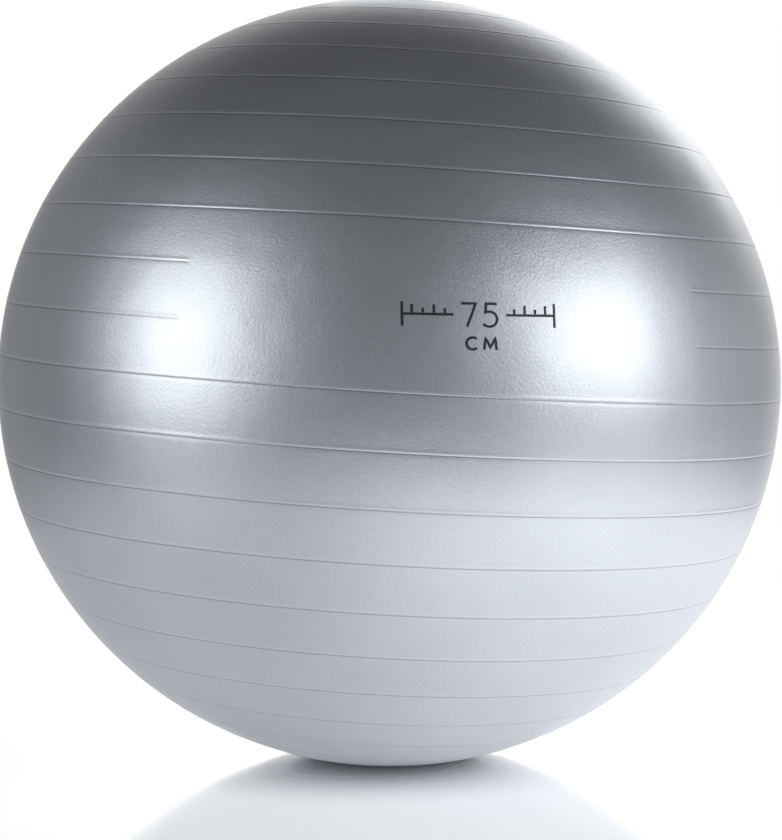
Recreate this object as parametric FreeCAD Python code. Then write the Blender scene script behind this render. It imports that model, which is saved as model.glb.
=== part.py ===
import FreeCAD, Part
import math
import os

# Inflated exercise ball standing on the floor, with its valve and plug. Millimetres, +Z up.
# The origin is on the floor, in the middle of the flat foot that the ball rests on.
# The smooth label panel faces -Y. The moulding axis is the one that the ribs circle.
# An angle up from the widest level is a rise, and an angle round the moulding axis is a turn:
# a turn of 0 faces -Y, and 90 faces +X.

# The ball, as it is inflated
ball_width = 750.0  # across the smooth skin at its widest level
ball_height = 736.0  # along the moulding axis, before its foot is pressed flat
foot_press = 6.0  # how far its own weight flattens the foot
skin_wall = 0.8
lean_right = 3.4  # the moulding axis leans towards +X, in degrees
lean_forward = 0.6  # and a little towards -Y

# The ribs moulded round the ball
rib_pitch = 7.6  # rise from one rib to the next, in degrees
middle_rib_rise = 1.65
top_rib_limit = 80.0  # no rib above this rise, so the top is smooth
foot_margin = 1.0  # the lowest rib stays this many degrees off the foot
rib_width = 3.0
rib_height = 0.6

# The smooth panel for the label: some ribs stop at its two ends
panel_middle = 8.0  # turn of its middle, in degrees
panel_half_turn = 36.5
panel_ribs = (1, 2)  # counted up from the middle rib

# The valve, a soft insert bonded into a hole in the skin
valve_rim = 4.65  # face of the valve round the plug's head
flange_lap = 9.0  # how far the flange reaches behind the skin, past the hole
flange_thickness = 1.6
bore_radius = 4.2
bore_lead_in = 0.7
sleeve_length = 25.0  # from the skin's outer face
sleeve_root_wall = 3.8
sleeve_tip_wall = 2.4
sleeve_tip_round = 0.8

# The plug that closes it
head_radius = 8.0
head_thickness = 2.4
head_edge = 0.6
head_proud = 0.8  # the head stands this far out of the skin, for a fingernail
head_gap = 0.35  # round the head, and under it
stem_length = 21.0
ridge_clearance = 0.05  # between a ridge and the bore
ridge_height = 0.65
ridge_width = 1.6
ridge_pitch = 4.2
tip_length = 3.0
tip_taper = 0.8  # how much the stem's radius loses over the tip
stem_wall = 2.0  # round the hole up the stem
stem_root = 6.5  # solid length under the head, above that hole
notch_width = 5.0  # two thumbnail notches in the head's rim
notch_depth = 0.9

half_width = ball_width / 2
half_height = ball_height / 2
rest_height = half_height - foot_press  # of the ball's middle above the floor
outline_turn = 90  # the oval outline is drawn in the X-Z plane
smooth_arc = 12.0  # longest arc of that outline, in degrees
valve_rise = middle_rib_rise + rib_pitch / 2  # midway between two ribs
valve_turn = panel_middle + 180  # opposite the middle of the panel
pocket_radius = head_radius + head_gap
pocket_floor = head_proud - head_thickness - head_gap
valve_face_radius = pocket_radius + valve_rim
valve_reach = 2 * sleeve_length  # a length that passes right through the valve
head_under = head_proud - head_thickness
ridge_radius = bore_radius - ridge_clearance
stem_radius = ridge_radius - ridge_height
stem_tip = head_under - stem_length
up = FreeCAD.Vector(0, 0, 1)
middle = FreeCAD.Vector(0, 0, 0)


def normal_at(rise):
    """The outward normal of the outline, in the X-Z plane."""
    across = math.cos(math.radians(rise)) / half_width
    along = math.sin(math.radians(rise)) / half_height
    return FreeCAD.Vector(across, 0, along).normalize()


def outline_point(rise, raised=0.0):
    """A point of the oval outline in the X-Z plane, raised along the outline's normal."""
    across = half_width * math.cos(math.radians(rise))
    along = half_height * math.sin(math.radians(rise))
    point = FreeCAD.Vector(across, 0, along) + normal_at(rise) * raised
    if abs(rise) == 90:
        point.x = 0
    return point


def bead_half_angle(rise):
    """Half the angle that a rib's width takes up at this rise."""
    across = half_width * math.sin(math.radians(rise))
    along = half_height * math.cos(math.radians(rise))
    return math.degrees(rib_width / 2 / math.hypot(across, along))


def bead_arc(rise):
    """A rib's rounded top, from skin to skin."""
    half = bead_half_angle(rise)
    return Part.Arc(outline_point(rise - half), outline_point(rise, rib_height), outline_point(rise + half))


def smooth_arcs(low, high, raised):
    """The oval between two rises, as arcs."""
    count = math.ceil((high - low) / smooth_arc)
    step = (high - low) / count
    rises = [low + index * step for index in range(count)] + [high]
    return [smooth_piece(start, end, raised) for start, end in zip(rises, rises[1:])]


def smooth_piece(start, end, raised):
    """One arc of the oval. One that ends on the moulding axis is centred on it, so it turns a round cap."""
    first = outline_point(start, raised)
    last = outline_point(end, raised)
    through = outline_point((start + end) / 2, raised)
    if first.x == 0 or last.x == 0:
        drop = last.z - first.z
        radius = (max(first.x, last.x) ** 2 + drop ** 2) / (2 * drop)
        centre = FreeCAD.Vector(0, 0, last.z - radius if last.x == 0 else first.z + radius)
        through = centre + ((first - centre) + (last - centre)).normalize() * radius
    return Part.Arc(first, through, last)


def turned(curves, angle=360):
    """The solid that a closed outline sweeps round the moulding axis."""
    wire = Part.Wire([curve.toShape() for curve in curves])
    return Part.Face(wire).revolve(middle, up, angle)


def ball_solid(raised, rib_rises=()):
    """Everything inside the oval outline, raised from the skin's outer face, with a bead for each rib."""
    curves = []
    low = -90
    for rise in sorted(rib_rises):
        half = bead_half_angle(rise)
        curves += smooth_arcs(low, rise - half, raised)
        curves.append(bead_arc(rise))
        low = rise + half
    curves += smooth_arcs(low, 90, raised)
    curves.append(Part.LineSegment(outline_point(90, raised), outline_point(-90, raised)))
    return turned(curves)


def rib_rises():
    """The rise of every rib, by its number counted up from the middle rib."""
    foot_edge = math.degrees(math.asin(rest_height / half_height))
    lowest = math.hypot(lean_right, lean_forward) + foot_margin - foot_edge
    above = math.floor((top_rib_limit - middle_rib_rise) / rib_pitch)
    below = math.floor((middle_rib_rise - lowest) / rib_pitch)
    return {number: middle_rib_rise + number * rib_pitch for number in range(-below, above + 1)}


def broken_rib(rise):
    """A rib that goes round the ball from one end of the label panel to the other, as a sunken ring."""
    ring_radius = (rib_width ** 2 / 4 + rib_height ** 2) / (2 * rib_height)
    centre = outline_point(rise, rib_height - ring_radius)
    rib = turned([Part.Circle(centre, FreeCAD.Vector(0, 1, 0), ring_radius)], 360 - 2 * panel_half_turn)
    rib.rotate(middle, up, panel_middle + panel_half_turn - outline_turn)
    return rib


def stand_up(shape):
    """Lean the moulding axis and lift the ball to its rest height."""
    shape.rotate(middle, FreeCAD.Vector(1, 0, 0), lean_forward)
    shape.rotate(middle, FreeCAD.Vector(0, 1, 0), lean_right)
    shape.translate(up * rest_height)
    return shape


def above(height):
    """A block of space above a level, larger than the ball."""
    side = 2 * max(ball_width, ball_height)
    return Part.makeBox(side, side, side, FreeCAD.Vector(-side / 2, -side / 2, height))


def at_valve(shape):
    """Carry a shape from the valve's own frame, +Z outwards from the skin, to its place in the ball."""
    shape.rotate(middle, FreeCAD.Vector(0, 1, 0), math.degrees(math.acos(normal_at(valve_rise).z)))
    shape.translate(outline_point(valve_rise))
    shape.rotate(middle, up, valve_turn - outline_turn)
    return shape


def rod(radius, low, high):
    """A round bar on the valve's own axis."""
    return Part.makeCylinder(radius, high - low, FreeCAD.Vector(0, 0, low))


def lathe(points):
    """The solid that an outline of radius and height turns on the valve's own axis."""
    corners = [FreeCAD.Vector(radius, 0, height) for radius, height in points]
    return Part.Face(Part.makePolygon(corners + corners[:1])).revolve(middle, up, 360)


def make_skin():
    """The one-piece moulded skin: ribs, label panel, flat foot and the hole for the valve."""
    rises = rib_rises()
    outside = ball_solid(0, [rise for number, rise in rises.items() if number not in panel_ribs])
    outside = outside.fuse([broken_rib(rises[number]) for number in panel_ribs if number in rises])
    outside = stand_up(outside).common(above(0))
    inside = stand_up(ball_solid(-skin_wall)).common(above(skin_wall))
    hole = stand_up(at_valve(rod(valve_face_radius, -valve_reach, valve_reach)))
    return outside.cut([inside, hole])


def make_valve():
    """The valve: a face flush with the skin, a flange bonded behind it, and a sleeve inside the ball."""
    face = at_valve(rod(valve_face_radius, -valve_reach, valve_reach)).common(ball_solid(0))
    flange = at_valve(rod(valve_face_radius + flange_lap, -valve_reach, valve_reach))
    flange = flange.common(ball_solid(-skin_wall))
    disc = face.fuse(flange).cut(ball_solid(-skin_wall - flange_thickness))
    boss = rod(valve_face_radius, pocket_floor - flange_thickness, pocket_floor)
    sleeve = lathe([
        (0, pocket_floor),
        (bore_radius + sleeve_root_wall, pocket_floor),
        (bore_radius + sleeve_tip_wall, sleeve_tip_round - sleeve_length),
        (bore_radius + sleeve_tip_wall - sleeve_tip_round, -sleeve_length),
        (0, -sleeve_length),
    ])
    pocket = rod(pocket_radius, pocket_floor, valve_reach)
    lead_in = Part.makeCone(bore_radius, bore_radius + bore_lead_in, bore_lead_in,
                            FreeCAD.Vector(0, 0, pocket_floor - bore_lead_in))
    bore = rod(bore_radius, -valve_reach, valve_reach)
    solid = disc.fuse([at_valve(boss), at_valve(sleeve)])
    solid = solid.cut([at_valve(pocket), at_valve(lead_in), at_valve(bore)])
    return stand_up(solid.removeSplitter())


def ridge_outline(crest):
    """The sloped top, edge and square underside of one ridge on the stem."""
    return [
        (stem_radius, crest + ridge_width),
        (ridge_radius, crest + ridge_width / 2),
        (ridge_radius, crest),
        (stem_radius, crest),
    ]


def make_plug():
    """The plug: a round head in the valve's pocket and a ridged, hollow stem in its bore."""
    hole_radius = stem_radius - stem_wall
    outline = [
        (0, head_proud),
        (head_radius - head_edge, head_proud),
        (head_radius, head_proud - head_edge),
        (head_radius, head_under),
        (stem_radius, head_under),
    ]
    for number in range(1, math.floor((stem_length - tip_length) / ridge_pitch) + 1):
        outline += ridge_outline(head_under - number * ridge_pitch)
    outline += [
        (stem_radius, stem_tip + tip_length),
        (stem_radius - tip_taper, stem_tip),
        (hole_radius, stem_tip),
        (hole_radius, head_under - stem_root - hole_radius),
        (0, head_under - stem_root),
    ]
    notches = [Part.makeBox(notch_width, 2 * notch_depth, head_thickness,
                            FreeCAD.Vector(-notch_width / 2, side * head_radius - notch_depth, head_under))
               for side in (-1, 1)]
    return stand_up(at_valve(lathe(outline).cut(notches)))


def write_part(name, shape):
    """Write a piece's one solid as its STEP file, and say what it measures."""
    solid = shape.Solids[0]
    if len(shape.Solids) != 1 or not solid.isValid():
        raise ValueError(name + " isn't one sound solid")
    solid.exportStep("parts/" + name + ".step")
    print(name, "volume", round(solid.Volume), "mm3, centre", solid.CenterOfMass)


os.makedirs("parts", exist_ok=True)
write_part("ball_skin", make_skin())
write_part("valve_body", make_valve())
write_part("valve_plug", make_plug())
outwards = stand_up(at_valve(Part.makeLine(middle, up)))
print("valve axis from", outwards.Vertexes[0].Point, "to", outwards.Vertexes[1].Point)
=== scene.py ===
"""An inflated exercise ball: the looks of its skin, print, valve and plug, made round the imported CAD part,
and its stage.

Lengths are in metres. An angle up from the ball's widest level is a rise, and an angle round its moulding
axis is a turn: a turn of 0 faces -Y, and 90 faces +X.
"""

import math

import bpy
import numpy as np
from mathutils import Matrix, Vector


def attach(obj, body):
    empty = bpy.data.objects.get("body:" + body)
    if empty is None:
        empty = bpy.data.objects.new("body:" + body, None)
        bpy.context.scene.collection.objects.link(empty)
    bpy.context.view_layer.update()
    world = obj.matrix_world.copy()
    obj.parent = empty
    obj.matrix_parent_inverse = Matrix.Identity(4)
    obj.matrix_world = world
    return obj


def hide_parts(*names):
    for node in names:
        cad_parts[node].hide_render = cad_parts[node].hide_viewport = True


bl_info = {
    "name": "Exercise Ball",
    "version": (1, 0, 0),
    "blender": (4, 5, 0),
    "location": "3D View > Sidebar > Exercise Ball",
    "description": "Makes the skin, print, valve, plug and stage of an inflated exercise ball",
    "category": "Object",
}

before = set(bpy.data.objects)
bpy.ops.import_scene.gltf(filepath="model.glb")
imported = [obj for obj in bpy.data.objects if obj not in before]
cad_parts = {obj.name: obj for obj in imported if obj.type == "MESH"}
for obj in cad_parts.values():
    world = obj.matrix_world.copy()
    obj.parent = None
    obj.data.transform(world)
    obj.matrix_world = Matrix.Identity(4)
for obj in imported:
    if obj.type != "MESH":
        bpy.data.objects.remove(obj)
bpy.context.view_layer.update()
MM = 0.001

# The skin's grid. Rows and columns are in degrees unless they are counted.
TURN_STEPS = 240  # columns round the ball
RIB_ROWS = (-1.85, -1.55, -1.25, -0.95, -0.65, -0.4, -0.15, 0.2, 0.6, 1.0, 1.4, 1.8)  # in half rib widths
GAP_ROWS = (-2.9, -1.0, 1.0, 2.9)  # between two ribs, from the middle of the gap
TOP_ROWS = 8
FOOT_ROWS = 30
RIB_END_COLUMNS = (-0.15, 0.1, 0.35, 0.6)  # where a rib of the label panel fades, from the panel's end
COLUMN_ROOM = 0.3  # an even column nearer than this to a rib end's column is left out
WINDOW_ROWS = 2.9  # the valve's window in the grid, each way
WINDOW_COLUMNS = 2  # and in columns each way
SAME_PLACE = 0.01  # rows and columns are taken as the same within this
RIM_POINTS = 84  # round the valve's hole, a whole number for each point of either surface's window
INNER_STEPS = 64  # columns round the inner surface
INNER_ROWS = 11  # the inner surface's rows go this many ribs up and down
INNER_ENDS = (-88.0, 88.5)  # its rows next to the poles
INNER_FOOT = -85.0  # its foot starts here
INNER_FOOT_ROWS = 5

# A rib's profile: places up from its middle in half rib widths, and heights in shares of its crest
UPPER_FLANK = 1.8
GROOVE_PLACE = -1.25
GROOVE_HALF_WIDTH = 0.6
GROOVE_DEPTH = 0.5

# The valve's hole
RING_SHARES = (0.2, 0.45, 0.7, 0.88, 1.0)  # rings round it, as shares of the way in from the window
HOLE_EDGE = ((0.35, 0.0), (0.16, 0.05), (0.06, 0.18), (0.04, 0.4))  # past the valve's face, and depth, in mm
INNER_RING = 6.0  # a ring on the inner surface, past the valve's face, in mm

# The valve insert and the plug, in millimetres. Heights are over the skin's outer face.
SPUN_COLUMNS = 128
FLANGE_LAP = 9.0  # past the valve's face
FLANGE = 1.6  # thickness of the flange and of the pocket's floor
POCKET_FLOOR = -1.95
LEAD_IN = 0.7
SLEEVE_ROOT_WALL = 3.7
SLEEVE_TIP_WALL = 2.4
SLEEVE_END = -25.0
HEAD_TOP = 0.8
HEAD_EDGE = 0.6
HEAD_UNDER = -1.6
STEM_CLEARANCE = 0.05  # from a ridge to the bore
RIDGES = 4
RIDGE_HEIGHT = 0.65
RIDGE_WIDTH = 1.6
RIDGE_PITCH = 4.2
STEM_TIP = -22.6
TIP_LENGTH = 3.0
TIP_TAPER = 0.8
STEM_WALL = 2.0
HOLLOW_TOP = (-9.6, -8.1)  # of the hollow up the stem, at its wall and at its middle
NOTCH_HALF_WIDTH = 2.6
NOTCH_START = 1.2  # a notch starts this far in from the head's rim
NOTCH_SLOPE = 0.6  # and is at its full depth this much further out

# The printed mark, in millimetres
ARC_POINTS = 25
STROKE_STEP = 2.5  # points along a stroke are no further apart
STROKE_LIFT = 0.003  # each stroke's face lies this much over the one before, so no two share a plane
INK_ROOT = -0.05  # the ink reaches this far into the skin

# The stage, in metres
SOFTBOX_AWAY = 3.4
SOFTBOXES = {  # azimuth and elevation in degrees, width and height
    "left": (-57, 12.5, 2.0, 2.3),
    "right": (58, 14, 2.4, 1.9),
    "back": (163, 26, 2.4, 1.3),
}
FLOOR_RADIUS = 2.0
FLOOR_FIRST_RING = 0.1
FLOOR_RINGS = 20
FLOOR_COLUMNS = 96
SHADE_ASIDE = (0.025, 0.0, 0.0)  # the contact's shade lies this far towards -X
SHADE_EDGE = (0.07, 0.25)  # radii between which that shade fades
GLOW_WAY = (0.85, -0.53, 0.0)  # the floor's glow grows this way
GLOW_EDGE = (-0.02, 0.70)  # between these places along it
FRONT_WAY = (0.0, -1.0, 0.0)
FRONT_EDGE = (-0.1, 0.35)
GLOW_START = (0.05, 0.12)  # radii between which the glow starts
CLIP_END = 50


def length(name, description, default):
    """A property that is a length in metres."""
    return bpy.props.FloatProperty(
        name=name, description=description, default=default, min=0.0, precision=5,
        unit="LENGTH", subtype="DISTANCE",
    )


def degrees(name, description, default):
    """A property that is an angle, from its default in degrees."""
    return bpy.props.FloatProperty(
        name=name, description=description, default=math.radians(default), precision=4,
        unit="ROTATION", subtype="ANGLE",
    )


def colour(name, description, default):
    """A property that is a colour."""
    return bpy.props.FloatVectorProperty(
        name=name, description=description, default=default, size=3, min=0.0, max=1.0, subtype="COLOR",
    )


def share(name, description, default, top=1.0):
    """A property that is a plain number, from 0 up."""
    return bpy.props.FloatProperty(
        name=name, description=description, default=default, min=0.0, max=top, precision=3,
    )


def watts(name, description, default):
    """A property that is a lamp's power."""
    return bpy.props.FloatProperty(
        name=name, description=description, default=default, min=0.0, max=5000.0, unit="POWER",
    )


def count(name, description, default):
    """A property that counts ribs."""
    return bpy.props.IntProperty(name=name, description=description, default=default, min=0)


class BallShape(bpy.types.PropertyGroup):
    """The moulded ball, as it is inflated."""

    width: length("Width", "Across the smooth skin at its widest level", 0.75)
    height: length("Height", "Along the moulding axis, before the foot is pressed flat", 0.736)
    foot_press: length("Foot press", "How far the ball's own weight flattens its foot", 0.006)
    foot_softness: length("Foot softness", "How gently the skin turns into the flat foot", 0.001)
    wall: length("Wall", "Thickness of the skin", 0.0008)
    lean_right: degrees("Lean right", "The moulding axis leans towards +X", 3.4)
    lean_forward: degrees("Lean forward", "The moulding axis leans towards -Y", 0.6)
    rib_pitch: degrees("Rib pitch", "Rise from one rib to the next", 7.6)
    middle_rib: degrees("Middle rib", "Rise of the rib nearest the widest level", 1.65)
    ribs_below: count("Ribs below", "Ribs below the middle rib", 10)
    ribs_above: count("Ribs above", "Ribs above the middle rib", 10)
    rib_width: length("Rib width", "Across a rib, without its long upper flank", 0.0028)
    rib_height: length("Rib height", "How far a rib stands out of the skin", 0.00018)
    panel_middle: degrees("Panel middle", "Turn of the middle of the smooth label panel", 8.0)
    panel_half: degrees("Panel half turn", "From the middle of the panel to its ends", 36.5)
    panel_first: count("First panel rib", "First rib that stops at the panel, up from the middle rib", 1)
    panel_last: count("Last panel rib", "Last rib that stops at the panel", 2)


class BallValve(bpy.types.PropertyGroup):
    """The valve insert and the plug that closes it."""

    rise: degrees("Rise", "Rise of the valve, midway between two ribs", 5.45)
    turn: degrees("Turn", "Turn of the valve, opposite the label", 188.0)
    face_radius: length("Face radius", "Outside of the valve's face", 0.013)
    pocket_radius: length("Pocket radius", "Inside of the pocket for the plug's head", 0.00835)
    bore_radius: length("Bore radius", "Bore that the plug's stem fills", 0.0042)
    head_radius: length("Head radius", "Outside of the plug's head", 0.008)
    notch: length("Notch depth", "Depth of the two thumbnail notches in the head's rim", 0.0009)
    insert_colour: colour("Insert colour", "The soft insert", (0.36, 0.37, 0.38))
    plug_colour: colour("Plug colour", "The plug", (0.78, 0.78, 0.76))


class BallFinish(bpy.types.PropertyGroup):
    """The pearl finish of the skin and the ink of its mark."""

    pearl: colour("Pearl colour", "Body colour of the skin", (0.342, 0.355, 0.379))
    metallic: share("Metallic", "How much the pearl pigment reflects like metal", 0.72)
    roughness: share("Roughness", "Roughness of the skin", 0.42)
    coat: share("Coat", "Strength of the skin's clear outer gloss", 0.25)
    coat_roughness: share("Coat roughness", "Roughness of that gloss", 0.2)
    grain: length("Grain", "Depth of the fine grain", 0.0002)
    cloud_height: length("Cloud height", "Height of the skin's broad unevenness", 0.002)
    wave_height: length("Wave height", "Height of its smaller unevenness", 0.0002)
    # The colour of the dust specks, also used for the painted light line along each rib
    dust_and_rib_light: colour("Dust colour", "Specks of dust on the skin", (0.62, 0.62, 0.61))
    # Painted shade: the tone that darkens the groove under each rib
    groove_shade: share("Grime", "Tone of the grime beside a rib, as a share of the pearl's", 0.35)
    ink: colour("Ink colour", "The printed size mark", (0.012, 0.012, 0.016))


class BallPrint(bpy.types.PropertyGroup):
    """The printed size mark on the label panel."""

    rise: degrees("Rise", "Rise of the middle of the mark", 11.9)
    turn: degrees("Turn", "Turn of the middle of the mark", 10.9)
    tilt: degrees("Tilt", "Turned anticlockwise on the skin", 2.3)
    stroke: length("Stroke", "Width of a stroke", 0.0021)
    ink_height: length("Ink height", "How far the ink stands out of the skin", 0.00012)


class BallStage(bpy.types.PropertyGroup):
    """Camera, lights, floor and surroundings."""

    camera_distance: length("Camera distance", "From the ball's middle to the camera", 2.194)
    camera_elevation: degrees("Camera elevation", "Height of the camera as seen from the ball", 2.0)
    camera_drop: degrees("Camera drop", "How far below the ball's middle the camera aims", 0.94)
    camera_swing: degrees("Camera swing", "How far right of the ball's middle the camera aims", 0.04)
    lens: bpy.props.FloatProperty(
        name="Lens", description="Focal length in millimetres", default=96.7, subtype="DISTANCE_CAMERA",
    )
    left_power: watts("Left softbox", "Power of the left softbox", 90.0)
    right_power: watts("Right softbox", "Power of the right softbox", 89.0)
    back_power: watts("Back softbox", "Power of the softbox behind the ball", 13.0)
    lamp_colour: colour("Lamp colour", "Colour of the softboxes' light", (0.95, 0.975, 1.0))
    floor_colour: colour("Floor colour", "Colour of the floor itself", (0.90, 0.905, 0.91))
    floor_mirror: share("Floor mirror", "How much the floor mirrors where the ball stands", 0.9)
    floor_glow: share("Floor glow", "How brightly the floor is lit from below", 2.13, 10.0)
    glow_left: share("Left glow", "The glow of the floor's left, as a share of its right", 0.17)
    glow_front: share("Front glow", "What the floor's front adds to that", 0.1)
    glow_seen: share("Seen glow", "The floor's own glow that the camera sees, as a share of the same", 0.12)
    glow_colour: colour("Glow colour", "Colour of the light from the floor", (0.938, 0.957, 1.0))
    floor_near: length("Floor fade", "The floor starts to fade this far from the ball", 0.75)
    floor_far: length("Floor end", "The floor has faded out this far from the ball", 1.6)
    surroundings: share("Surroundings", "Brightness of the dark side of the room", 0.005, 10.0)
    backdrop: share("Backdrop", "Brightness of the white backdrop", 1.15, 10.0)
    backdrop_left: share("Backdrop left", "Brightness of its left, as a share", 0.25)
    backdrop_right: share("Backdrop right", "Brightness of its right, as a share", 0.3)
    backdrop_middle: share("Backdrop middle", "What is added straight behind the ball", 0.5)
    right_wall: share("Right wall", "Brightness of a low wall on the right, as a share", 0.4)
    right_corner: share("Right corner", "What is added where the backdrop meets that wall", 0.8)


# ---------------------------------------------------------------- mesh

class Shell:
    """Points and faces of one piece, gathered sheet by sheet."""

    def __init__(self):
        self.points = []
        self.quads = []
        self.triangles = []
        self.count = 0

    def add(self, points):
        """Keep an array of points, and give back their numbers in an array of the same shape."""
        points = np.asarray(points, float)
        numbers = np.arange(points[..., 0].size).reshape(points.shape[:-1]) + self.count
        self.points.append(points.reshape(-1, 3))
        self.count += numbers.size
        return numbers

    def sheet(self, grid, left_out=None):
        """Quads between the rows of a grid that closes round: each point, its right, upper right and upper
        neighbour."""
        right = np.roll(grid, -1, axis=1)
        cells = np.stack([grid[:-1], right[:-1], right[1:], grid[1:]], axis=-1)
        self.quads.append(cells.reshape(-1, 4) if left_out is None else cells[~left_out])

    def cap(self, ring, pole):
        """Triangles from a ring to one point that closes it."""
        self.triangles.append(np.stack([ring, np.roll(ring, -1), np.full_like(ring, pole)], axis=-1))

    def fan(self, loop, ring):
        """Triangles between a coarse loop and a fine ring inside it, with a whole number of ring points to a
        loop point."""
        step = len(ring) // len(loop)
        fine = np.arange(len(ring))
        near = loop[(fine + step // 2) // step % len(loop)]
        self.triangles.append(np.stack([near, np.roll(ring, -1), ring], axis=-1))
        self.triangles.append(np.stack([loop, np.roll(loop, -1), ring[step // 2::step]], axis=-1))

    def turn_round(self, first_quads, first_triangles):
        """Face the sheets from here on the other way."""
        self.quads[first_quads:] = [faces[:, ::-1] for faces in self.quads[first_quads:]]
        self.triangles[first_triangles:] = [faces[:, ::-1] for faces in self.triangles[first_triangles:]]

    def corners(self):
        """All points, all quads and all triangles, with unused points dropped."""
        points = np.concatenate(self.points)
        quads = np.concatenate([np.zeros((0, 4), int)] + self.quads)
        triangles = np.concatenate([np.zeros((0, 3), int)] + self.triangles)
        used = np.unique(np.concatenate([quads.ravel(), triangles.ravel()]))
        place = np.zeros(len(points), int)
        place[used] = np.arange(len(used))
        return points[used], place[quads], place[triangles]


def signed_volume(points, quads, triangles):
    """Sum of the tetrahedra from the middle of the points to each triangle: positive if the faces point
    outwards."""
    split = np.concatenate([triangles, quads[:, [0, 1, 2]], quads[:, [0, 2, 3]]])
    a, b, c = (points[split[:, k]] - points.mean(axis=0) for k in range(3))
    return np.einsum("ij,ij->i", a, np.cross(b, c)).sum() / 6


def make_object(name, shell, body, material, replaced=(), values=None):
    """Put a shell into a mesh object at the origin, smooth and facing outwards, and ride it on its body. Each
    of the values is worked out from the points and kept as an attribute."""
    points, quads, triangles = shell.corners()
    if signed_volume(points, quads, triangles) < 0:
        quads, triangles = quads[:, ::-1], triangles[:, ::-1]
    mesh = bpy.data.meshes.new(name)
    loops = np.concatenate([quads.ravel(), triangles.ravel()]).astype(np.int32)
    starts = np.concatenate([np.arange(len(quads)) * 4, len(quads) * 4 + np.arange(len(triangles)) * 3])
    mesh.vertices.add(len(points))
    mesh.vertices.foreach_set("co", points.astype(np.float32).ravel())
    mesh.loops.add(len(loops))
    mesh.loops.foreach_set("vertex_index", loops)
    mesh.polygons.add(len(starts))
    mesh.polygons.foreach_set("loop_start", starts.astype(np.int32))
    mesh.update(calc_edges=True)
    if mesh.validate():
        raise ValueError(name + " has faces that Blender had to mend")
    mesh.shade_smooth()
    for key, worked_out in (values or {}).items():
        layer = mesh.attributes.new(key, "FLOAT", "POINT")
        layer.data.foreach_set("value", worked_out(points).astype(np.float32))
    mesh.materials.append(material)
    piece = bpy.data.objects.new(name, mesh)
    bpy.context.scene.collection.objects.link(piece)
    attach(piece, body)
    if replaced:
        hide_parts(*replaced)
    return piece


# ---------------------------------------------------------------- the skin

def lean(shape):
    """The turn that leans the moulding axis: forward about X, then right about Y."""
    forward, right = shape.lean_forward, shape.lean_right
    about_x = np.array([
        [1, 0, 0],
        [0, math.cos(forward), -math.sin(forward)],
        [0, math.sin(forward), math.cos(forward)],
    ])
    about_y = np.array([
        [math.cos(right), 0, math.sin(right)],
        [0, 1, 0],
        [-math.sin(right), 0, math.cos(right)],
    ])
    return about_y @ about_x


def skin_place(shape, rise, turn, raised=0.0):
    """Points over the oval skin, for angles in degrees.

    Half the width times the cosine of the rise goes outwards at the turn's angle, and half the height times
    its sine goes along the moulding axis. Raised is added along the outline's normal. Then the axis leans,
    and the ball's middle is lifted to half its height less the foot press.
    """
    rise, turn = np.radians(rise), np.radians(turn)
    half_width, half_height = shape.width / 2, shape.height / 2
    across, along = np.cos(rise) / half_width, np.sin(rise) / half_height
    size = np.hypot(across, along)
    radius = half_width * np.cos(rise) + raised * across / size
    height = half_height * np.sin(rise) + raised * along / size
    moulded = np.stack(np.broadcast_arrays(radius * np.sin(turn), -radius * np.cos(turn), height), axis=-1)
    return moulded @ lean(shape).T + [0, 0, half_height - shape.foot_press]


def press_foot(points, floor, softness):
    """Flatten the foot: a height h over the floor becomes (h + sqrt(h squared + softness squared)) / 2."""
    over = points[..., 2] - floor
    points[..., 2] = floor + (over + np.sqrt(over ** 2 + softness ** 2)) / 2
    return points


def along_outline(shape, rise):
    """Metres along the outline for each degree of rise."""
    rise = np.radians(rise)
    return np.hypot(shape.width / 2 * np.sin(rise), shape.height / 2 * np.cos(rise)) * math.radians(1)


def rib_profile(away):
    """Height across a rib in shares of its crest, for places up from its middle in half rib widths.

    The bead is (1 - s squared) squared, where s is the place, or on the longer upper flank the place over the
    flank's length. The fine groove under it has the same form with its own width and depth.
    """
    bead = np.clip(1 - np.where(away > 0, away / UPPER_FLANK, away) ** 2, 0, None) ** 2
    groove = np.clip(1 - ((away - GROOVE_PLACE) / GROOVE_HALF_WIDTH) ** 2, 0, None) ** 2
    return bead - GROOVE_DEPTH * groove


def rib_raise(shape, rise, turn):
    """How far the ribs raise the skin: the nearest rib's height times its profile.

    A rib of the label panel fades out at the panel's ends by f squared times (3 - 2 f), where f is the place
    across the columns of its end.
    """
    pitch, middle = math.degrees(shape.rib_pitch), math.degrees(shape.middle_rib)
    number = np.clip(np.round((rise - middle) / pitch), -shape.ribs_below, shape.ribs_above)
    away = (rise - middle - number * pitch) * along_outline(shape, rise) / (shape.rib_width / 2)
    from_middle = np.abs((turn - math.degrees(shape.panel_middle) + 180) % 360 - 180)
    from_panel = from_middle - math.degrees(shape.panel_half)
    start, end = RIB_END_COLUMNS[0], RIB_END_COLUMNS[-1]
    fade = np.clip((from_panel - start) / (end - start), 0, 1)
    fade = fade * fade * (3 - 2 * fade)
    broken = (number >= shape.panel_first) & (number <= shape.panel_last)
    return shape.rib_height * rib_profile(away) * np.where(broken, fade, 1.0)


def rib_share(shape, points):
    """The rib's height at each point in shares of its crest. The point's rise is the arc tangent of its
    height over its distance from the moulding axis, each in shares of the oval's half sizes."""
    moulded = (points - [0, 0, shape.height / 2 - shape.foot_press]) @ lean(shape)
    level = np.hypot(moulded[:, 0], moulded[:, 1]) / (shape.width / 2)
    rise = np.degrees(np.arctan2(moulded[:, 2] / (shape.height / 2), level))
    turn = np.degrees(np.arctan2(moulded[:, 0], -moulded[:, 1]))
    return rib_raise(shape, rise, turn) / shape.rib_height


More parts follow.
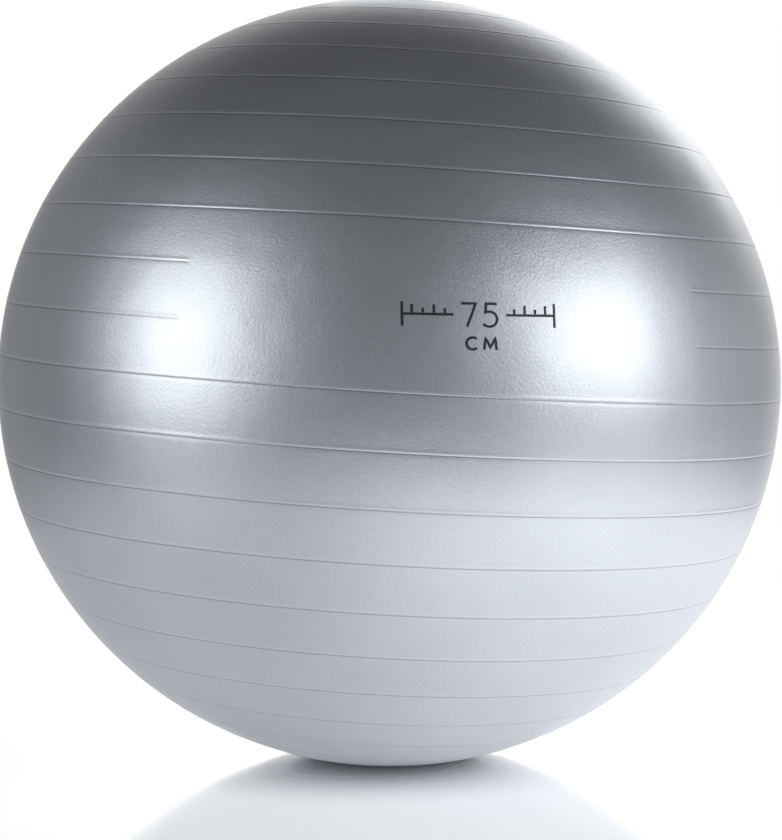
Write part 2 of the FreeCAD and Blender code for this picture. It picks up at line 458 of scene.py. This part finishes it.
def skin_rises(shape):
    """Rises of the grid's rows: a set across each rib, a few between two ribs, and more over the top and the
    foot."""
    pitch, middle = math.degrees(shape.rib_pitch), math.degrees(shape.middle_rib)
    ribs = middle + pitch * np.arange(-shape.ribs_below, shape.ribs_above + 1)
    beads = ribs[:, None] + np.array(RIB_ROWS) * shape.rib_width / 2 / along_outline(shape, ribs)[:, None]
    gaps = ribs[:-1, None] + pitch / 2 + np.array(GAP_ROWS)
    top = np.linspace(beads.max(), 90, TOP_ROWS + 2)[1:-1]
    foot = np.linspace(-90, beads.min(), FOOT_ROWS + 2)[1:-1]
    return np.sort(np.concatenate([beads.ravel(), gaps.ravel(), top, foot]))


def skin_turns(shape, valve):
    """Turns of the grid's columns: even steps with one on the valve, and finer ones where the panel's ribs
    end."""
    even = math.degrees(valve.turn) + np.arange(TURN_STEPS) * 360 / TURN_STEPS
    sides = np.array([-1, 1])
    ends = math.degrees(shape.panel_middle) + math.degrees(shape.panel_half) * sides
    fine = (ends[:, None] + sides[:, None] * np.array(RIB_END_COLUMNS)).ravel()
    far = np.abs((even[:, None] - fine + 180) % 360 - 180).min(axis=1) > COLUMN_ROOM
    return np.sort(np.concatenate([even[far] % 360, fine % 360]))


def window_loop(rows, columns):
    """Places in a grid of the points round a window, anticlockwise from its lower left corner."""
    low, high, left, right = rows[0], rows[-1], columns[0], columns[-1]
    across = [(low, column) for column in columns[:-1]] + [(row, right) for row in rows[:-1]]
    back = [(high, column) for column in columns[:0:-1]] + [(row, left) for row in rows[:0:-1]]
    return np.array(across + back)


def skin_surface(shell, shape, valve, rises, turns, window, rings, raised):
    """One surface of the skin with the valve's hole in it.

    It is a grid of rises and turns closed by a point at each pole. Round the valve a window of cells is left
    out, and rings go from the window's loop to the hole's rim: a point of a ring is the loop's point times
    (1 - inward) plus the rim's point at the same angle times inward.
    """
    rise, turn = rises[:, None], turns[None, :]
    height = rib_raise(shape, rise, turn) if raised == 0 else raised
    grid = shell.add(press_foot(skin_place(shape, rise, turn, height), -raised, shape.foot_softness))
    valve_rise, valve_turn = math.degrees(valve.rise), math.degrees(valve.turn)
    rows = np.flatnonzero(np.abs(rises - valve_rise) < window[0] + SAME_PLACE)
    columns = np.flatnonzero(np.abs(turns - valve_turn) < window[1] + SAME_PLACE)
    left_out = np.zeros((len(rises) - 1, len(turns)), bool)
    left_out[rows[0]:rows[-1], columns[0]:columns[-1]] = True
    shell.sheet(grid, left_out)
    poles = skin_place(shape, np.array([-90.0, 90.0]), 0.0, raised)
    bottom, top = shell.add(press_foot(poles, -raised, shape.foot_softness))
    shell.cap(grid[0][::-1], bottom)
    shell.cap(grid[-1], top)
    places = window_loop(rows, columns)
    loop = grid[places[:, 0], places[:, 1]]
    corner = np.stack([turns[places[:, 1]] - valve_turn, rises[places[:, 0]] - valve_rise], axis=-1)
    metres_a_turn = math.radians(1) * shape.width / 2 * math.cos(valve.rise)
    scale = np.array([metres_a_turn, along_outline(shape, valve_rise)])
    fine = RIM_POINTS // len(loop)
    between = (np.arange(RIM_POINTS) % fine / fine)[:, None]
    following = np.roll(corner, -1, axis=0)
    edge = np.repeat(corner, fine, axis=0) * (1 - between) + np.repeat(following, fine, axis=0) * between
    angle = 2 * np.pi * np.arange(RIM_POINTS) / RIM_POINTS - 0.75 * np.pi
    around = np.stack([np.cos(angle), np.sin(angle)], axis=-1) / scale
    inward, radius, depth = np.array(rings).T[..., None, None]
    spots = edge * (1 - inward) + around * radius * inward
    rise, turn = valve_rise + spots[..., 1], valve_turn + spots[..., 0]
    inner = shell.add(skin_place(shape, rise, turn, raised - depth[..., 0]))
    shell.fan(loop, inner[0])
    shell.sheet(inner)
    return inner[-1]


def build_skin(shape, valve, material):
    """The skin: its outer surface with ribs and foot, the hole's rounded rim, and its inner surface."""
    shell = Shell()
    edge = [(valve.face_radius + gap * MM, depth * MM) for gap, depth in HOLE_EDGE]
    rings = [(inward, *edge[0]) for inward in RING_SHARES] + [(1.0, *ring) for ring in edge[1:]]
    window = (WINDOW_ROWS, WINDOW_COLUMNS * 360 / TURN_STEPS)
    outer = skin_surface(shell, shape, valve, skin_rises(shape), skin_turns(shape, valve), window, rings, 0.0)
    quads, triangles = len(shell.quads), len(shell.triangles)
    pitch = math.degrees(shape.rib_pitch)
    even = math.degrees(shape.middle_rib) + pitch * np.arange(-INNER_ROWS, INNER_ROWS + 1)
    foot = np.linspace(INNER_FOOT, even[1], INNER_FOOT_ROWS)
    rises = np.concatenate([INNER_ENDS[:1], foot, even[2:], INNER_ENDS[1:]])
    turns = np.sort((math.degrees(valve.turn) + np.arange(INNER_STEPS) * 360 / INNER_STEPS) % 360)
    window = (pitch / 2, 360 / INNER_STEPS)
    rings = [(1.0, valve.face_radius + INNER_RING * MM, 0.0), (1.0, edge[-1][0], 0.0)]
    inner = skin_surface(shell, shape, valve, rises, turns, window, rings, -shape.wall)
    shell.turn_round(quads, triangles)
    shell.sheet(np.stack([outer, inner]))
    values = {"rib": lambda points: rib_share(shape, points)}
    return make_object("skin", shell, "ball", material, ["ball_skin"], values)


# ---------------------------------------------------------------- the valve and the plug

def rounded(corners, steps=4):
    """A closed outline with rounded corners, from rows of radius, height and fillet in millimetres.

    Each corner becomes points of the curve (1 - t) squared times the fillet's start plus 2 t (1 - t) times
    the corner plus t squared times the fillet's end. Points that fall together are left out.
    """
    corners = np.array(corners, float) * MM
    places, fillet = corners[:, :2], corners[:, 2:]
    before, after = (np.roll(places, step, axis=0) - places for step in (1, -1))
    start = places + before / np.linalg.norm(before, axis=1, keepdims=True) * fillet
    end = places + after / np.linalg.norm(after, axis=1, keepdims=True) * fillet
    t = np.linspace(0, 1, steps + 1)[:, None, None]
    curve = (1 - t) ** 2 * start + 2 * t * (1 - t) * places + t ** 2 * end
    outline = curve.transpose(1, 0, 2).reshape(-1, 2)
    return outline[np.linalg.norm(outline - np.roll(outline, 1, axis=0), axis=1) > 1e-7]


def at_valve(shape, valve, points):
    """Carry points from the valve's own frame to the ball: X down the skin, Y round it and Z outwards."""
    rise, turn = math.degrees(valve.rise), math.degrees(valve.turn)
    origin = skin_place(shape, rise, turn)
    outwards = skin_place(shape, rise, turn, 1.0) - origin
    round_it = skin_place(shape, rise, turn + 1) - skin_place(shape, rise, turn - 1)
    round_it /= np.linalg.norm(round_it)
    return origin + points @ np.array([np.cross(round_it, outwards), round_it, outwards])


def spun(outline, less=None):
    """An outline of radius and height spun round Z: the radius, less a part that depends on the place and the
    angle, times the angle's cosine and sine."""
    angle = np.arange(SPUN_COLUMNS) * 2 * np.pi / SPUN_COLUMNS
    radius = np.repeat(outline[:, :1], SPUN_COLUMNS, axis=1)
    height = np.repeat(outline[:, 1:], SPUN_COLUMNS, axis=1)
    if less is not None:
        radius = radius - less(radius, height, angle)
    return np.stack([radius * np.cos(angle), radius * np.sin(angle), height], axis=-1)


def build_valve(shape, valve, material):
    """The valve insert: an outline spun round the valve's axis. Its face and flange follow the skin's curve,
    which falls by the square of the radius over the ball's width."""
    face, pocket, bore = (size / MM for size in (valve.face_radius, valve.pocket_radius, valve.bore_radius))
    flange, wall = face + FLANGE_LAP, shape.wall / MM
    at_pocket, at_face, at_flange = (-radius ** 2 / (shape.width / MM) for radius in (pocket, face, flange))
    outline = rounded([
        (bore, POCKET_FLOOR - LEAD_IN, 0.1),
        (bore + LEAD_IN, POCKET_FLOOR, 0.2),
        (pocket, POCKET_FLOOR, 0.25),
        (pocket, at_pocket, 0.3),
        (face, at_face, 0.25),
        (face, at_face - wall, 0.0),
        (flange, at_flange - wall, 0.4),
        (flange, at_flange - wall - FLANGE, 0.4),
        (face, at_face - wall - FLANGE, 0.0),
        (face, POCKET_FLOOR - FLANGE, 0.5),
        (bore + SLEEVE_ROOT_WALL, POCKET_FLOOR - FLANGE, 0.8),
        (bore + SLEEVE_TIP_WALL, SLEEVE_END, 0.8),
        (bore, SLEEVE_END, 0.3),
    ])
    shell = Shell()
    grid = shell.add(at_valve(shape, valve, spun(outline)))
    shell.sheet(np.concatenate([grid, grid[:1]]))
    return make_object("valve", shell, "ball", material, ["valve_body"])


def build_plug(shape, valve, material):
    """The plug: an outline spun round the valve's axis, closed by a point on the axis at each end.

    The rim of its head gives way by the notch depth times (1 - c squared), where c is the place across a
    notch in half notch widths, and by less of that down the slope at the notch's start.
    """
    head, ridge = valve.head_radius / MM, valve.bore_radius / MM - STEM_CLEARANCE
    stem = ridge - RIDGE_HEIGHT
    hole = stem - STEM_WALL
    corners = [
        (0, 0.62, 0),
        (4.6, 0.66, 0.6),
        (5.2, HEAD_TOP, 0.4),
        (head - HEAD_EDGE, HEAD_TOP, 0.3),
        (head, HEAD_TOP - HEAD_EDGE, 0.3),
        (head, HEAD_UNDER, 0.25),
        (stem, HEAD_UNDER, 0.3),
    ]
    for number in range(1, RIDGES + 1):
        crest = HEAD_UNDER - RIDGE_PITCH * number
        corners += [
            (stem, crest + RIDGE_WIDTH, 0.2),
            (ridge, crest + RIDGE_WIDTH / 2, 0.2),
            (ridge, crest, 0.12),
            (stem, crest, 0.1),
        ]
    corners += [
        (stem, STEM_TIP + TIP_LENGTH, 0.4),
        (stem - TIP_TAPER, STEM_TIP, 0.3),
        (hole, STEM_TIP, 0.2),
        (hole, HOLLOW_TOP[0], 0.4),
        (0, HOLLOW_TOP[1], 0),
    ]
    outline = rounded(corners, 3)

    def notches(radius, height, angle):
        """How far the head's rim gives way."""
        across = np.clip(np.abs(radius * np.cos(angle)) / (NOTCH_HALF_WIDTH * MM), 0, 1)
        slope = np.clip((radius - (head - NOTCH_START) * MM) / (NOTCH_SLOPE * MM), 0, 1)
        in_head = height > (HEAD_UNDER - 0.01) * MM
        return valve.notch * slope * in_head * (1 - across ** 2)

    shell = Shell()
    grid = shell.add(at_valve(shape, valve, spun(outline[1:-1], notches)))
    ends = shell.add(at_valve(shape, valve, np.column_stack([np.zeros((2, 2)), outline[[0, -1], 1]])))
    shell.sheet(grid)
    shell.cap(grid[0][::-1], ends[0])
    shell.cap(grid[-1], ends[1])
    return make_object("plug", shell, "plug", material, ["valve_plug"])


# ---------------------------------------------------------------- the printed size mark

def arc(middle, across, up, start, end):
    """Points of an oval arc: middle plus its half sizes times the cosine and sine of angles from start to
    end."""
    angle = np.radians(np.linspace(start, end, ARC_POINTS))
    return np.stack([middle[0] + across * np.cos(angle), middle[1] + up * np.sin(angle)], axis=-1)


def size_mark():
    """Strokes of the mark, worked out in millimetres right of and above its middle: a rule with end bars and
    ticks on each side of the number 75, and CM under it."""
    strokes = []
    for side in (-1, 1):
        strokes.append([(side * 64, 10), (side * 64, -10)])
        strokes.append([(side * 62.8, 0), (side * 22, 0)])
        for place, tall in ((29, 5), (38, 8), (47, 5), (56, 8)):
            strokes.append([(side * place, 1.2), (side * place, tall)])
    strokes.append([(-15.5, 9.3), (-3.5, 9.3), (-11, -10)])
    five = arc((7.6, -3.4), 6.6, 6.2, 118, -140)
    strokes.append(np.concatenate([[(14.2, 9.3), (5.2, 9.3)], five]))
    strokes.append(arc((-6.6, -23.5), 5, 4.9, 48, 312))
    strokes.append([(3, -28.5), (4, -18.7), (8.2, -26.5), (12.4, -18.7), (13.4, -28.5)])
    return [np.array(stroke, float) * MM for stroke in strokes]


def finer(path, step):
    """The same path with a point at least every step along each of its runs."""
    runs = []
    for start, end in zip(path, path[1:]):
        points = max(2, math.ceil(np.linalg.norm(end - start) / step) + 1)
        runs.append(np.linspace(start, end, points)[:-1])
    return np.concatenate(runs + [path[-1:]])


def build_print(shape, mark, material):
    """The ink: each stroke is a flat bar carried along its path. The bar's sides are half a stroke from the
    path along the mean of its neighbouring runs' normals, longer by one over the cosine of half the
    corner."""
    shell = Shell()
    spin = np.array([
        [math.cos(mark.tilt), math.sin(mark.tilt)],
        [-math.sin(mark.tilt), math.cos(mark.tilt)],
    ])
    middle_rise, middle_turn = math.degrees(mark.rise), math.degrees(mark.turn)
    for number, stroke in enumerate(size_mark()):
        path = finer(stroke, STROKE_STEP * MM)
        runs = np.diff(path, axis=0)
        across = np.stack([-runs[:, 1], runs[:, 0]], axis=-1)
        normals = across / np.linalg.norm(runs, axis=1, keepdims=True)
        first, last = np.vstack([normals[:1], normals]), np.vstack([normals, normals[-1:]])
        corner = np.maximum(1 + (first * last).sum(axis=1, keepdims=True), 0.5)
        side = (first + last) / corner * mark.stroke / 2
        flat = np.stack([path + side, path - side, path - side, path + side], axis=1)
        right, over = np.moveaxis(flat @ spin, -1, 0)
        rise = middle_rise + over / along_outline(shape, middle_rise)
        turn = middle_turn + np.degrees(right / (shape.width / 2 * np.cos(np.radians(rise))))
        top = mark.ink_height + number * STROKE_LIFT * MM
        height = np.broadcast_to([top, top, INK_ROOT * MM, INK_ROOT * MM], rise.shape)
        grid = shell.add(skin_place(shape, rise, turn, height))
        shell.sheet(grid)
        shell.quads.append(np.stack([grid[0][::-1], grid[-1]]))
    piece = make_object("size_mark", shell, "ball", material)
    piece.data.shade_flat()
    return piece


# ---------------------------------------------------------------- finishes

class Signal:
    """A number that varies from place to place: a node's output, whose arithmetic adds Math nodes."""

    def __init__(self, nodes, socket):
        self.nodes = nodes
        self.socket = socket

    def maths(self, operation, first, second):
        """A Math node on two numbers or signals."""
        return self.nodes.add("ShaderNodeMath", {"operation": operation}, {0: first, 1: second})

    def __add__(self, other):
        return self.maths("ADD", self, other)

    def __sub__(self, other):
        return self.maths("SUBTRACT", self, other)

    def __rsub__(self, other):
        return self.maths("SUBTRACT", other, self)

    def __mul__(self, other):
        return self.maths("MULTIPLY", self, other)

    __radd__ = __add__
    __rmul__ = __mul__


class Nodes:
    """The nodes of a material or of the surroundings."""

    def __init__(self, owner):
        owner.use_nodes = True
        self.tree = owner.node_tree
        self.tree.nodes.clear()

    def add(self, kind, settings=None, inputs=None, output=0):
        """Add a node: its settings first, then its sockets' values or links. Gives back the output asked
        for."""
        node = self.tree.nodes.new(kind)
        for name, value in (settings or {}).items():
            setattr(node, name, value)
        for name, value in (inputs or {}).items():
            if isinstance(value, Signal):
                self.tree.links.new(value.socket, node.inputs[name])
            else:
                node.inputs[name].default_value = value
        return Signal(self, node.outputs[output]) if node.outputs else None

    def place(self):
        """The place on the piece, in metres."""
        return self.add("ShaderNodeTexCoord", output=3)

    def noise(self, where, scale, detail=2.0, roughness=0.5):
        """Soft random patches, about one over the scale across."""
        sockets = {"Vector": where, "Scale": scale, "Detail": detail, "Roughness": roughness}
        return self.add("ShaderNodeTexNoise", None, sockets)

    def smooth(self, value, low, high):
        """0 below low, 1 above high, and a smooth step between them."""
        sockets = {"Value": value, "From Min": low, "From Max": high}
        return self.add("ShaderNodeMapRange", {"interpolation_type": "SMOOTHSTEP"}, sockets)

    def mix(self, factor, first, second):
        """A colour between two."""
        return self.add("ShaderNodeMix", {"data_type": "RGBA"}, {0: factor, 6: first, 7: second}, 2)

    def distance(self, where):
        """How far a place is from the origin."""
        return self.add("ShaderNodeVectorMath", {"operation": "LENGTH"}, {0: where}, 1)

    def along(self, where, way):
        """How far a place is along a way."""
        return self.add("ShaderNodeVectorMath", {"operation": "DOT_PRODUCT"}, {0: where, 1: way}, 1)

    def bump(self, height):
        """The normal of a surface raised by a height in metres."""
        return self.add("ShaderNodeBump", None, {"Strength": 1.0, "Distance": 1.0, "Height": height})

    def surface(self, sockets):
        """A Principled shader."""
        return self.add("ShaderNodeBsdfPrincipled", None, sockets)


def shade(rgb, factor=1.0):
    """A colour made lighter or darker, with its alpha."""
    return tuple(min(1.0, part * factor) for part in rgb) + (1.0,)


def finish(name, surface_of, settings):
    """A new material, whose nodes a function adds."""
    material = bpy.data.materials.new(name)
    nodes = Nodes(material)
    nodes.add("ShaderNodeOutputMaterial", None, {"Surface": surface_of(nodes, settings)})
    return material


def pearl_skin(nodes, look):
    """Pearl PVC: a metallic grey with a fine grain, faint clouds in its colour and gloss, and specks of dust.
    The rib attribute makes each rib a little less metallic and paints a light line along it, and paints shade
    in the groove under it, where it is negative."""
    place = nodes.place()
    grain = nodes.noise(place, scale=430.0, detail=3.0, roughness=0.65)
    clouds = nodes.noise(place, scale=7.0, detail=3.0)
    wave = nodes.noise(place, scale=22.0, detail=1.0, roughness=0.3)
    speck = nodes.smooth(nodes.noise(place, scale=260.0, detail=2.0, roughness=0.7), low=0.66, high=0.8)
    rib = nodes.add("ShaderNodeAttribute", {"attribute_name": "rib"}, output=2)
    tone = nodes.smooth(grain * 0.55 + clouds * 0.45, low=0.3, high=0.7)
    body = nodes.mix(tone, shade(look.pearl, 0.94), shade(look.pearl, 1.06))
    # Dust specks, and a painted light line along each rib, where the rib attribute is positive
    dust_and_light_line = nodes.mix(speck * 0.12 + rib * 0.06, body, shade(look.dust_and_rib_light))
    # Painted shade in the groove under each rib, where the rib attribute is negative
    groove_shaded = nodes.mix(rib * -1.5, dust_and_light_line, shade(look.pearl, look.groove_shade))
    return nodes.surface({
        "Base Color": groove_shaded,
        "Metallic": look.metallic - rib * 0.12,
        "Roughness": look.roughness - 0.05 + grain * 0.06 + clouds * 0.04 + speck * 0.08,
        "Normal": nodes.bump(grain * look.grain + clouds * look.cloud_height + wave * look.wave_height),
        "Coat Weight": look.coat,
        "Coat Roughness": look.coat_roughness,
        "IOR": 1.5,
    })


def print_ink(nodes, look):
    """Ink: nearly black, a little uneven where it lies thin over the grain."""
    grain = nodes.noise(nodes.place(), scale=900.0, detail=3.0, roughness=0.6)
    thin = nodes.smooth(grain, low=0.45, high=0.85)
    return nodes.surface({
        "Base Color": nodes.mix(thin, shade(look.ink), shade(look.ink, 2.2)),
        "Roughness": 0.42 + grain * 0.16,
        "Specular IOR Level": 0.3,
        "Normal": nodes.bump(grain * 0.00004),
    })


def soft_insert(nodes, look):
    """Matt grey PVC of the valve, with a satin moulded grain and faint handling marks."""
    place = nodes.place()
    grain = nodes.noise(place, scale=1500.0, detail=3.0, roughness=0.6)
    marks = nodes.noise(place, scale=160.0, detail=4.0, roughness=0.65)
    handled = nodes.smooth(marks, low=0.35, high=0.75)
    return nodes.surface({
        "Base Color": nodes.mix(handled, shade(look.insert_colour), shade(look.insert_colour, 0.86)),
        "Roughness": 0.44 + marks * 0.16,
        "Normal": nodes.bump(grain * 0.00003 + marks * 0.00008),
    })


def hard_plug(nodes, look):
    """Off-white moulded plastic of the plug, satin and slightly waxy, with faint grubby patches."""
    place = nodes.place()
    grain = nodes.noise(place, scale=1100.0, detail=3.0, roughness=0.6)
    marks = nodes.noise(place, scale=210.0, detail=4.0, roughness=0.65)
    grubby = nodes.smooth(marks, low=0.5, high=0.85)
    return nodes.surface({
        "Base Color": nodes.mix(grubby, shade(look.plug_colour), shade(look.plug_colour, 0.84)),
        "Roughness": 0.34 + marks * 0.14,
        "Normal": nodes.bump(grain * 0.00002 + marks * 0.00005),
        "Subsurface Weight": 0.15,
        "Subsurface Scale": 0.002,
    })


# ---------------------------------------------------------------- the stage

def white_floor(nodes, stage):
    """Glossy white floor, lit from below, that fades out far from the ball.

    What the ball reflects is brighter towards the front right. The camera sees an even floor, with a soft,
    mirror-like shade where the ball touches it.
    """
    place = nodes.place()
    away = nodes.distance(place)
    aside = nodes.add("ShaderNodeVectorMath", {"operation": "ADD"}, {0: place, 1: SHADE_ASIDE})
    open_floor = nodes.smooth(nodes.distance(aside), *SHADE_EDGE)
    sheen = nodes.noise(place, scale=14.0)
    seen = nodes.add("ShaderNodeLightPath")
    rest = 1 - stage.glow_left - stage.glow_front
    level = nodes.smooth(nodes.along(place, GLOW_WAY), *GLOW_EDGE) * rest + stage.glow_left
    level = level + nodes.smooth(nodes.along(place, FRONT_WAY), *FRONT_EDGE) * stage.glow_front
    black, white = shade((0, 0, 0)), shade((1, 1, 1), stage.glow_seen)
    lit = nodes.mix(level * nodes.smooth(away, *GLOW_START), black, shade(stage.glow_colour))
    solid = nodes.surface({
        "Base Color": shade(stage.floor_colour),
        "Metallic": (1.0 - open_floor) * stage.floor_mirror,
        "Roughness": 0.10 + sheen * 0.04,
        "IOR": 1.45,
        "Emission Color": nodes.mix(seen, lit, nodes.mix(open_floor, black, white)),
        "Emission Strength": stage.floor_glow,
    })
    faded = nodes.smooth(away, stage.floor_near, stage.floor_far)
    clear = nodes.add("ShaderNodeBsdfTransparent")
    return nodes.add("ShaderNodeMixShader", None, {0: faded, 1: solid, 2: clear})


def surroundings(nodes, stage):
    """The room, by how far right, back and over a direction points, each from -1 to 1.

    A white backdrop hangs behind the ball. It is dimmer at its left and right, ends overhead, and is
    brightest straight behind and at its right corner. A low wall stands on the right, and the rest is dark.
    The camera itself sees plain white all round.
    """
    looking = nodes.add("ShaderNodeTexCoord")
    parts = nodes.add("ShaderNodeSeparateXYZ", None, {0: looking})
    right, back, over = (Signal(nodes, socket) for socket in parts.socket.node.outputs)
    left_end = nodes.smooth(right, -0.5, 0.05) * (1 - stage.backdrop_left) + stage.backdrop_left
    right_end = 1.0 - nodes.smooth(right, 0.35, 0.75) * (1 - stage.backdrop_right)
    hung = nodes.smooth(back, 0.2, 0.75) * (1.0 - nodes.smooth(over, 0.48, 0.76))
    middle = nodes.smooth(back, 0.93, 0.98) * stage.backdrop_middle
    wall = nodes.smooth(right, 0.7, 0.97) * (1.0 - nodes.smooth(over, 0.1, 0.5)) * stage.right_wall
    corner = nodes.smooth(right, 0.3, 0.45) * (1.0 - nodes.smooth(right, 0.54, 0.68))
    corner = corner * nodes.smooth(over, 0.08, 0.22) * nodes.smooth(back, 0.64, 0.8) * stage.right_corner
    cloth = hung * (left_end * right_end) + middle + wall + corner
    seen = nodes.add("ShaderNodeLightPath")
    strength = seen + (1.0 - seen) * (cloth * stage.backdrop + stage.surroundings)
    return nodes.add("ShaderNodeBackground", None, {"Color": shade((1, 1, 1)), "Strength": strength})


def softbox(name, place, aim, size, power, tint):
    """A rectangular light at a place, facing an aim."""
    lamp = bpy.data.lights.new(name, "AREA")
    lamp.shape = "RECTANGLE"
    lamp.size, lamp.size_y = size
    lamp.energy = power
    lamp.color = tint
    holder = bpy.data.objects.new(name, lamp)
    holder.location = place
    holder.rotation_euler = (aim - place).to_track_quat("-Z", "Y").to_euler()
    holder.visible_camera = False
    bpy.context.scene.collection.objects.link(holder)


def toward(azimuth, elevation):
    """The direction at an azimuth, from -Y towards +X, and an elevation, in degrees: the elevation's cosine
    times the azimuth's sine, less its cosine times the azimuth's cosine, and its sine."""
    azimuth, elevation = math.radians(azimuth), math.radians(elevation)
    level = math.cos(elevation)
    return Vector((level * math.sin(azimuth), -level * math.cos(azimuth), math.sin(elevation)))


def floor_disc():
    """The floor's mesh: rings of points at even radii round the ball, closed by a point in the middle."""
    angle = np.arange(FLOOR_COLUMNS) * 2 * np.pi / FLOOR_COLUMNS
    radius = np.linspace(FLOOR_FIRST_RING, FLOOR_RADIUS, FLOOR_RINGS)[:, None]
    places = np.broadcast_arrays(radius * np.cos(angle), radius * np.sin(angle), 0.0)
    shell = Shell()
    ring = shell.add(np.stack(places, axis=-1))
    shell.sheet(ring[::-1])
    shell.cap(ring[0], shell.add(np.zeros((1, 3)))[0])
    points, quads, triangles = shell.corners()
    mesh = bpy.data.meshes.new("floor")
    mesh.from_pydata(points, [], quads.tolist() + triangles.tolist())
    return mesh


def build_stage(shape, stage):
    """The camera, the three softboxes, the floor and the surroundings."""
    middle = Vector((0, 0, shape.height / 2 - shape.foot_press))
    camera = bpy.data.objects.new("camera", bpy.data.cameras.new("camera"))
    camera.data.lens = stage.lens
    camera.data.clip_end = CLIP_END
    camera.location = middle + toward(0, math.degrees(stage.camera_elevation)) * stage.camera_distance
    pitch = math.pi / 2 - stage.camera_elevation - stage.camera_drop
    camera.rotation_euler = (pitch, 0, -stage.camera_swing)
    bpy.context.scene.collection.objects.link(camera)
    bpy.context.scene.camera = camera
    for side, (azimuth, elevation, width, height) in SOFTBOXES.items():
        place = middle + toward(azimuth, elevation) * SOFTBOX_AWAY
        power = getattr(stage, side + "_power")
        softbox("softbox_" + side, place, middle, (width, height), power, stage.lamp_colour)

    floor = bpy.data.objects.new("floor", floor_disc())
    floor.data.materials.append(finish("white_floor", white_floor, stage))
    bpy.context.scene.collection.objects.link(floor)

    world = bpy.data.worlds.new("surroundings")
    nodes = Nodes(world)
    nodes.add("ShaderNodeOutputWorld", None, {"Surface": surroundings(nodes, stage)})
    bpy.context.scene.world = world
    bpy.context.scene.view_settings.view_transform = "Standard"


# ---------------------------------------------------------------- the add-on

class BALL_OT_skin(bpy.types.Operator):
    """Make the moulded skin"""

    bl_idname = "ball.skin"
    bl_label = "Skin"

    def execute(self, context):
        scene = context.scene
        build_skin(scene.ball_shape, scene.ball_valve, finish("pearl_skin", pearl_skin, scene.ball_finish))
        return {"FINISHED"}


class BALL_OT_print(bpy.types.Operator):
    """Print the size mark on the label panel"""

    bl_idname = "ball.print"
    bl_label = "Size mark"

    def execute(self, context):
        scene = context.scene
        build_print(scene.ball_shape, scene.ball_print, finish("print_ink", print_ink, scene.ball_finish))
        return {"FINISHED"}


class BALL_OT_valve(bpy.types.Operator):
    """Make the valve insert"""

    bl_idname = "ball.valve"
    bl_label = "Valve"

    def execute(self, context):
        scene = context.scene
        build_valve(scene.ball_shape, scene.ball_valve, finish("valve_insert", soft_insert, scene.ball_valve))
        return {"FINISHED"}


class BALL_OT_plug(bpy.types.Operator):
    """Make the plug that closes the valve"""

    bl_idname = "ball.plug"
    bl_label = "Plug"

    def execute(self, context):
        scene = context.scene
        build_plug(scene.ball_shape, scene.ball_valve, finish("plug", hard_plug, scene.ball_valve))
        return {"FINISHED"}


class BALL_OT_stage(bpy.types.Operator):
    """Set up the floor, lights, surroundings and camera"""

    bl_idname = "ball.stage"
    bl_label = "Stage"

    def execute(self, context):
        build_stage(context.scene.ball_shape, context.scene.ball_stage)
        return {"FINISHED"}


GROUPS = {
    "ball_shape": BallShape,
    "ball_valve": BallValve,
    "ball_print": BallPrint,
    "ball_finish": BallFinish,
    "ball_stage": BallStage,
}
STEPS = (BALL_OT_skin, BALL_OT_print, BALL_OT_valve, BALL_OT_plug, BALL_OT_stage)


class BALL_PT_panel(bpy.types.Panel):
    """Lists the steps that make the ball, and its sizes and colours"""

    bl_label = "Exercise Ball"
    bl_space_type = "VIEW_3D"
    bl_region_type = "UI"
    bl_category = "Exercise Ball"

    def draw(self, context):
        """A button for each step, then a box for each group of values."""
        for step in STEPS:
            self.layout.operator(step.bl_idname)
        for name, group in GROUPS.items():
            box = self.layout.box()
            for field in group.__annotations__:
                box.prop(getattr(context.scene, name), field)


def register():
    """Register the classes and give the scene its groups of values."""
    for kind in (*GROUPS.values(), *STEPS, BALL_PT_panel):
        bpy.utils.register_class(kind)
    for name, group in GROUPS.items():
        setattr(bpy.types.Scene, name, bpy.props.PointerProperty(type=group))


def unregister():
    """Take away what register added."""
    for name in GROUPS:
        delattr(bpy.types.Scene, name)
    for kind in reversed((*GROUPS.values(), *STEPS, BALL_PT_panel)):
        bpy.utils.unregister_class(kind)


def main():
    """Make the pieces in order."""
    register()
    bpy.ops.ball.skin()
    bpy.ops.ball.print()
    bpy.ops.ball.valve()
    bpy.ops.ball.plug()
    bpy.ops.ball.stage()
    bpy.context.view_layer.update()


if __name__ == "__main__":
    main()
